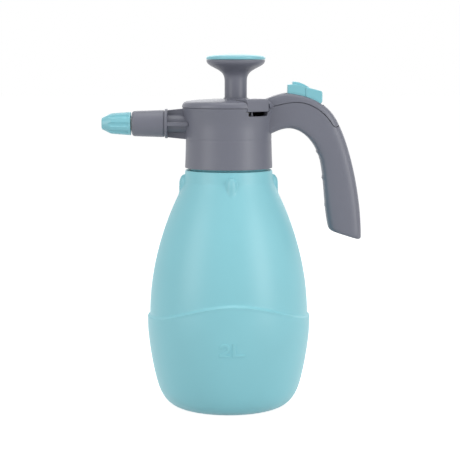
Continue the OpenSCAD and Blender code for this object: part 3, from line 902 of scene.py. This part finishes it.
class SPRAYER_OT_handle(bpy.types.Operator):
    """The hooked handle, the cover strip on it, the rib behind their seam and the button's pin"""

    bl_idname = "sprayer.handle"
    bl_label = "Handle"

    def execute(self, context):
        sizes = context.scene.sprayer_head
        width, seam = sizes.handle_width / MM, sizes.seam / MM
        outer, inner = joined(OUTER_LINE, STRETCHES), joined(INNER_LINE, STRETCHES)
        squareness = np.interp(np.arange(len(inner)), [0, SQUARE_ROWS, sum(STRETCHES[:2]), len(inner)],
                               np.repeat([sizes.root_square, sizes.grip_square], 2))
        skin = handle_grid(inner, outer, width, squareness)
        ridges(skin)
        down = outer[-1] - outer[-3]
        down = np.array([down[0], 0, down[1]]) / np.linalg.norm(down)
        grid = np.concatenate([point_row(skin[0]), skin, rounded_end(skin[-1], down * 0.9, 3.6)])
        faces = grid_faces(*grid.shape[:2])
        hollow = (inner, outer, width, squareness)

        piece = add_piece("handle", make_mesh("handle", grid, faces, 50), *HEAD, ["handle_body"])
        cut(piece, [handle_hollow(*hollow), head_core(), above_seam(-seam / 2)])
        lining = handle_hollow(inner, outer, width, squareness, SHELL + RIB_GAP, 0)
        piece = add_piece("seam_rib", lining, *HEAD)
        cut(piece, [handle_hollow(inner, outer, width, squareness, SHELL + RIB_WALL), head_core(),
                    block_cutter(*BUTTON_SLOT), above_seam(RIB_UP)],
            [above_seam(-RIB_DOWN)])
        half = sizes.pin_length / MM / 2
        pin_r = float(np.diff(box_mm("trigger_pin"), axis=0)[0, 2]) / 2
        pin = outline([[0, half, 0], [pin_r, half, 0.4], [pin_r, -half, 0.4], [0, -half, 0]],
                      closed=False)
        add_piece("pivot_pin", turned_mesh("pivot_pin", pin, 48, lathe=across_pivot),
                  "head", "drawn_stainless_steel", "spring_steel", ["trigger_pin"])
        piece = add_piece("cover_strip", make_mesh("cover_strip", grid, faces, 50), *HEAD,
                          ["top_cover"])
        cut(piece, [handle_hollow(*hollow), block_cutter(*BUTTON_SLOT)],
            [above_seam(seam / 2)])
        return {"FINISHED"}


def dome_line():
    """The cover's skin in radius and height, from its middle to the seam."""
    return np.concatenate([
        np.stack([np.linspace(0, 24, 16), 261 - 0.7 * (np.linspace(0, 1, 16)) ** 2], -1),
        bezier([24, 260.3], [28, 260.0], [32, 259.5], [35, 259.05], 16, 1),
        bezier([35, 259.05], [37.6, 258.6], [39.0, 257.2], [39.2, 254.6], 14, 1)])


def dome_height(radius):
    """Height of the cover's skin at a distance from its middle."""
    line = dome_line()
    return np.interp(radius, line[:, 0], line[:, 1])


class SPRAYER_OT_cover(bpy.types.Operator):
    """The domed cover over the housing, notched for the relief tab"""

    bl_idname = "sprayer.cover"
    bl_label = "Cover"

    def execute(self, context):
        under = outline([[39.2, 254.3, 0], [39.2, SEAM_Z + 0.12, 0.4], [36.7, SEAM_Z + 0.12, 0.3],
                         [34, 256.6, 1.0], [24, 257.9, 1.0], [0, 258.6, 0]], closed=False)
        profile = np.concatenate([dome_line(), under])
        dome = add_piece("cover_dome", turned_mesh("cover_dome", profile, 256), *HEAD,
                         ["top_cover"])
        notch = counter_clockwise(outline(
            [[21.6, -12.6, 1.0], [48, -12.6, 0], [48, 12.6, 0], [21.6, 12.6, 1.0]]))
        edge, bend = 0.6, np.linspace(0, math.pi / 2, 6)
        grow = edge * (1 - np.cos(bend))
        heights = -edge + edge * np.sin(bend)
        layers = np.stack([inset(notch, -g) for g in (0, *grow, edge)])
        skin = dome_height(np.hypot(layers[..., 0], layers[..., 1]))
        lift = np.array([-12.0, *heights, 4.0])[:, None]
        height = np.where(lift < -1, 250.0, np.minimum(skin, 262) + lift)
        # Past the dome's rim there is no skin to follow, so the layers climb 2 mm each
        past_rim = 250 + np.arange(len(layers))[:, None] * 2.0
        height = np.where(layers[..., 0] > 38.5, past_rim, height)
        grid = at_relief(layers[..., 0], height, layers[..., 1])
        cut(dome, [make_mesh("cutter", grid, capped_faces(*layers.shape[:2])),
                   rod_cutter(9.7, 250, 270, (PUMP_X, 0))])
        collar = outline([[9.68, 258.4, 0], [9.68, 262.0, 0.25], [10.1, 262.0, 0.2],
                          [10.7, 261.0, 0.7], [12.6, 260.85, 0], [12.6, 258.4, 0]])
        add_piece("cover_collar", turned_mesh("cover_collar", collar, 128, (PUMP_X, 0)), *HEAD)
        return {"FINISHED"}


# ---------------------------------------------------------------- pump


class SPRAYER_OT_pump(bpy.types.Operator):
    """The pump's knob and stem, and the cap on the knob"""

    bl_idname = "sprayer.pump"
    bl_label = "Pump knob"

    def execute(self, context):
        stem_r, low = 9.35, float(box_mm("pump_handle")[0][2])
        flare = np.concatenate([
            bezier([24.55, 293.0], [24.5, 289], [19, 287.6], [14.5, 284.8], 28),
            bezier([14.5, 284.8], [11.4, 282.9], [stem_r, 280.8], [stem_r, 275.5], 20, 1)])
        rim = outline([[7.0, 293.35, 0], [24.3, 293.35, 0.25], [24.55, 293.0, 0]], closed=False)
        stem = np.array([[stem_r, z] for z in np.linspace(272, low + 0.5, 20)])
        foot = outline([[stem_r, low + 0.4, 0], [stem_r, low, 0.3], [1.6, low, 0.2],
                        [1.6, low + 3.2, 0.2], [7.0, low + 3.2, 0.4], [7.0, 292, 0]], closed=False)
        profile = np.concatenate([rim, flare[1:], stem, foot])
        mesh = turned_mesh("pump_knob", profile, 160, (PUMP_X, 0))
        add_piece("pump_knob", mesh, "pump", "grained_polypropylene", "head_plastic",
                  ["pump_handle"])
        crown = np.concatenate([
            outline([[0, 287, 0], [6.9, 287, 0.4], [6.9, 293.0, 0], [6.95, 293.55, 0],
                     [24.5, 293.55, 0.25], [24.75, 294.2, 0.25]], closed=False),
            bezier([24.8, 294.8], [24.9, 297.0], [20.5, 298.1], [0, 298.9], 48)])
        mesh = turned_mesh("knob_cap", crown, 160, (PUMP_X, 0))
        add_piece("knob_cap_disc", mesh, "pump", "polished_polypropylene", "trim_plastic",
                  ["knob_cap"])
        return {"FINISHED"}


# ---------------------------------------------------------------- nozzle


def cap_radius(along):
    """Outer radius of the nozzle cap at a distance from the tip: rounded nose, cone, barrel and rim."""
    return np.interp(
        along,
        [0.0, 0.15, 0.45, 0.9, 1.6, 6.4, 7.4, 8.6, 22.8, 24.1, 24.35, 24.5],
        [4.3, 4.7, 5.0, 5.2, 5.5, 8.0, 8.42, 8.72, 9.76, 9.85, 9.75, 9.55])


class SPRAYER_OT_nozzle(bpy.types.Operator):
    """The nozzle's sleeve and its fluted screw cap"""

    bl_idname = "sprayer.nozzle"
    bl_label = "Nozzle"

    def execute(self, context):
        sleeve = outline([[6.1, 81.2, 0.3], [10.6, 81.2, 2.4], [11.45, 54.9, 0.5], [10.9, 54.5, 0.2],
                          [10.9, 53.9, 0], [6.1, 53.9, 0]])
        mesh = turned_mesh("sleeve", sleeve, 128, lathe=along_nozzle)
        add_piece("sleeve", mesh, *HEAD, ["nozzle_sleeve"])
        sizes = context.scene.sprayer_nozzle
        tip = -float(box_mm("nozzle_cap")[0][0])
        columns = 320
        angle = np.linspace(0, 2 * math.pi, columns, endpoint=False)[None]
        along = np.concatenate([np.linspace(0, 2, 11), np.linspace(2, 22.6, 64)[1:],
                                np.linspace(22.6, 24.5, 14)[1:]])[:, None]
        radius = cap_radius(along) + 0 * angle
        hollow = sizes.flute_radius / MM
        pitch = 2 * math.pi / sizes.flutes
        off = (angle + math.radians(93) + pitch / 2) % pitch - pitch / 2
        floor = np.interp(along, [5.0, 6.4, 8.8, 22.2, 23.6], [8.2, 7.6, 7.55, 8.45, 10.2])
        centre = floor + hollow
        inside = hollow**2 - (centre * np.sin(off)) ** 2
        flute = np.where(inside > 0, centre * np.cos(off) - np.sqrt(np.maximum(inside, 0)), 30)
        radius = -blend_max(-radius, -flute, 0.5)
        skin = np.stack([radius * np.cos(angle), radius * np.sin(angle),
                         tip - along + 0 * angle], -1)
        bore = np.array([[9.3, 24.5], [7.15, 24.5], [7.15, 19.2], [5.75, 19.2], [5.75, 7.2],
                         [4.4, 7.2], [0.8, 4.3], [0.7, 1.2], [1.6, 0.5], [1.8, 0.0], [4.0, 0.0]])
        inner = revolved(np.stack([bore[:, 0], tip - bore[:, 1]], -1), columns)
        grid = along_nozzle(np.concatenate([skin, inner]))
        mesh = make_mesh("fluted_cap", grid, grid_faces(*grid.shape[:2], wrap_rows=True), 45)
        add_piece("fluted_cap", mesh, "nozzle", "polished_polypropylene", "trim_plastic",
                  ["nozzle_cap"])
        return {"FINISHED"}


# ---------------------------------------------------------------- button and relief tab


class SPRAYER_OT_button(bpy.types.Operator):
    """The thumb button: a wedge with wider cheeks at its rear, a raised thumb stop and its arm"""

    bl_idname = "sprayer.button"
    bl_label = "Thumb button"

    def execute(self, context):
        look = ("trigger", "polished_polypropylene", "trim_plastic")
        wedge = [[49, 261.3, 0.4], [66, 261.3, 0.4], [69, 255, 0.6], [76.5, 255, 1.5],
                 [77.6, 258.4, 1], [77.4, 266.6, 0.8], [76.4, 267.7, 0.8], [64.5, 271.0, 2],
                 [56, 273.2, 2], [49.3, 272.9, 0.8]]
        add_slab("thumb_button", wedge, 8.3, 0.7, upright, look, ["trigger_button"])
        cheeks = [[64.4, 261.3, 0.8], [69, 258.6, 0.6], [76, 256.2, 1.2], [78.2, 258.6, 0.8],
                  [78.2, 266.4, 1.0], [77.2, 267.6, 0.9], [64.4, 270.9, 0.8]]
        add_slab("thumb_button_heel", cheeks, 9.2, 0.8, upright, look)
        stop = [[53.4, 271, 0.4], [53.4, 275.4, 0.5], [57.6, 275.1, 2.5], [62, 273.7, 2.5],
                [68, 270.2, 1.0], [66, 268, 0.5]]
        add_slab("thumb_button_stop", stop, 6.2, 0.8, upright, look)
        arm = [[70.8, 256, 0.2], [70.8, 242.2, 0.8], [70.4, 240.8, 0.8], [72, 239.2, 1.2],
               [73.6, 240.8, 0.8], [73.2, 242.2, 0.8], [73.2, 256, 0.2]]
        add_slab("button_arm", arm, 2.3, 0.3, upright, look)
        return {"FINISHED"}


class SPRAYER_OT_relief_tab(bpy.types.Operator):
    """The pressure relief tab: a lifting lip in the housing's window and its socket"""

    bl_idname = "sprayer.relief_tab"
    bl_label = "Relief tab"

    def execute(self, context):
        look = ("relief", "grained_polypropylene", "head_plastic")
        lip = [[33.4, 250.75, 0.5], [36.0, 250.75, 0.5], [36.4, 251.3, 0.4], [36.4, 259.8, 1.2],
               [34.6, 261.35, 1.2], [22, 261.35, 0.6], [22, 258.9, 0.6], [33.4, 258.9, 0.6]]
        add_slab("relief_lip", lip, 12.1, 0.55, at_relief, look, ["relief_tab"])
        socket = outline([[1.36, 253.5, 0], [2.9, 253.5, 0.3], [2.9, 259.2, 0], [1.36, 259.2, 0]])
        mesh = turned_mesh("relief_socket", socket, 40, (RELIEF[0], RELIEF[1]))
        add_piece("relief_socket", mesh, *look)
        return {"FINISHED"}


# ---------------------------------------------------------------- parts that keep their CAD shape

INNER_FINISH = {
    "inner_plastic": "natural_acetal",
    "seal_rubber": "nitrile_rubber",
    "spring_steel": "drawn_stainless_steel",
    "head_plastic": "grained_polypropylene",
    "trim_plastic": "polished_polypropylene",
    "bottle_plastic": "blown_polyethylene",
}


class SPRAYER_OT_inner_parts(bpy.types.Operator):
    """Finishes for the pump, valve and seal parts, which keep their CAD shapes"""

    bl_idname = "sprayer.inner_parts"
    bl_label = "Inner parts"

    def execute(self, context):
        for part in frame["record"]["subparts"]:
            shown = frame["nodes"][part["node"]]
            shown.data.materials.clear()
            shown.data.materials.append(finish(INNER_FINISH[part["material_slot"]]))
        return {"FINISHED"}


# ---------------------------------------------------------------- stage


CAMERA_PLACE = (0.0011, -1.1392, 0.2877)
CAMERA_TILT = math.radians(6.9)  # below level
LENS = 105.65  # millimetres, on a sensor 36 mm wide
LAMP_AIM = (0, 0, 0.15)
ROOM_LIGHT = 0.27  # strength of the world on the object
FLOOR_HALF = 12.0  # metres
FLOOR_SHADE, FLOOR_GLOW = 0.58, 0.86  # how much light the floor returns, and its own where it is seen

# Each lamp: name, place and size in metres, power in watts
LAMPS = (
    ("left_softbox", (-1.1, -0.75, 0.5), (0.7, 1.2), 7.2),
    ("right_softbox", (1.05, -0.8, 0.45), (0.6, 1.2), 9.6),
    ("top_softbox", (0, -0.1, 1.5), (1.0, 1.0), 6.4),
    ("rear_softbox", (0.1, 1.2, 0.7), (1.4, 0.9), 5.0),
)


def white_ground(name):
    """A pale floor that shows as white where it is lit and keeps the object's shadow."""
    material = bpy.data.materials.new(name)
    material.use_nodes = True
    tree = material.node_tree
    tree.nodes.clear()
    matt = add_node(tree, "ShaderNodeBsdfDiffuse", {"Color": (*[FLOOR_SHADE] * 3, 1)})
    glow = add_node(tree, "ShaderNodeEmission", {"Color": (1, 1, 1, 1), "Strength": FLOOR_GLOW})
    path = add_node(tree, "ShaderNodeLightPath")
    seen = add_node(tree, "ShaderNodeMath", {"operation": "MAXIMUM"},
                    {0: path.outputs["Is Camera Ray"], 1: path.outputs["Is Glossy Ray"]})
    both = add_node(tree, "ShaderNodeAddShader", {}, {0: matt.outputs[0], 1: glow.outputs[0]})
    mixed = add_node(tree, "ShaderNodeMixShader", {},
                     {0: seen.outputs[0], 1: matt.outputs[0], 2: both.outputs[0]})
    add_node(tree, "ShaderNodeOutputMaterial", {}, {"Surface": mixed.outputs[0]})
    return material


def area_lamp(name, place, size, power):
    """A rectangular soft lamp that points at the sprayer's middle."""
    lamp = bpy.data.lights.new(name, "AREA")
    lamp.shape = "RECTANGLE"
    lamp.size, lamp.size_y = size
    lamp.energy = power
    stand = bpy.data.objects.new(name, lamp)
    bpy.context.scene.collection.objects.link(stand)
    stand.location = place
    stand.rotation_euler = (Vector(LAMP_AIM) - Vector(place)).to_track_quat("-Z", "Y").to_euler()


class SPRAYER_OT_stage(bpy.types.Operator):
    """The camera, the lamps, the white surroundings and the floor"""

    bl_idname = "sprayer.stage"
    bl_label = "Stage"

    def execute(self, context):
        scene = context.scene
        scene.view_settings.view_transform = "Standard"
        camera = bpy.data.objects.new("camera", bpy.data.cameras.new("camera"))
        scene.collection.objects.link(camera)
        camera.data.sensor_width = 36.0
        camera.data.lens = LENS
        camera.location = CAMERA_PLACE
        camera.rotation_euler = (math.pi / 2 - CAMERA_TILT, 0, 0)
        camera.data.clip_end = 50
        scene.camera = camera

        world = bpy.data.worlds.new("white_room")
        scene.world = world
        world.use_nodes = True
        tree = world.node_tree
        tree.nodes.clear()
        path = add_node(tree, "ShaderNodeLightPath")
        seen = add_node(tree, "ShaderNodeMath", {"operation": "MAXIMUM"},
                        {0: path.outputs["Is Camera Ray"], 1: path.outputs["Is Transmission Ray"]})
        seen = add_node(tree, "ShaderNodeMath", {"operation": "MAXIMUM"},
                        {0: seen.outputs[0], 1: path.outputs["Is Glossy Ray"]})
        level_of = add_node(tree, "ShaderNodeMapRange", {"To Min": ROOM_LIGHT, "To Max": 1.0},
                            {"Value": seen.outputs[0]})
        sky = add_node(tree, "ShaderNodeBackground", {"Color": (1, 1, 1, 1)},
                       {"Strength": level_of.outputs["Result"]})
        add_node(tree, "ShaderNodeOutputWorld", {}, {"Surface": sky.outputs[0]})

        for lamp in LAMPS:
            area_lamp(*lamp)

        floor = bpy.data.meshes.new("floor")
        corners = [(x * FLOOR_HALF, y * FLOOR_HALF, 0) for x, y in ((-1, -1), (1, -1), (1, 1), (-1, 1))]
        floor.from_pydata(corners, [], [(0, 1, 2, 3)])
        ground = bpy.data.objects.new("floor", floor)
        scene.collection.objects.link(ground)
        floor.materials.append(white_ground("white_floor"))
        return {"FINISHED"}


# ---------------------------------------------------------------- panel and registration

PIECES = (
    SPRAYER_OT_stage,
    SPRAYER_OT_inner_parts,
    SPRAYER_OT_bottle,
    SPRAYER_OT_capacity_mark,
    SPRAYER_OT_housing,
    SPRAYER_OT_nozzle_arm,
    SPRAYER_OT_handle,
    SPRAYER_OT_cover,
    SPRAYER_OT_pump,
    SPRAYER_OT_nozzle,
    SPRAYER_OT_button,
    SPRAYER_OT_relief_tab,
)


class SPRAYER_PT_panel(bpy.types.Panel):
    """Lists the sprayer's pieces and settings"""

    bl_idname = "SPRAYER_PT_panel"
    bl_label = "Pump sprayer"
    bl_space_type = "VIEW_3D"
    bl_region_type = "UI"
    bl_category = "Sprayer"

    def draw(self, context):
        for settings in (context.scene.sprayer_colours, context.scene.sprayer_bottle,
                         context.scene.sprayer_head, context.scene.sprayer_nozzle):
            box = self.layout.box()
            for name in settings.__annotations__:
                box.prop(settings, name)
        for piece in PIECES:
            self.layout.operator(piece.bl_idname)


SETTINGS = {
    "sprayer_colours": SprayerColours,
    "sprayer_bottle": BottleSizes,
    "sprayer_head": HeadSizes,
    "sprayer_nozzle": NozzleSizes,
}
CLASSES = (*SETTINGS.values(), *PIECES, SPRAYER_PT_panel)


def register():
    for cls in CLASSES:
        bpy.utils.register_class(cls)
    for name, group in SETTINGS.items():
        setattr(bpy.types.Scene, name, PointerProperty(type=group))


def unregister():
    for name in SETTINGS:
        delattr(bpy.types.Scene, name)
    for cls in reversed(CLASSES):
        bpy.utils.unregister_class(cls)


def main():
    """Builds every piece in order."""
    register()
    for piece in PIECES:
        group, operation = piece.bl_idname.split(".")
        getattr(getattr(bpy.ops, group), operation)()
    bpy.context.view_layer.update()


if __name__ == "__main__":
    main()
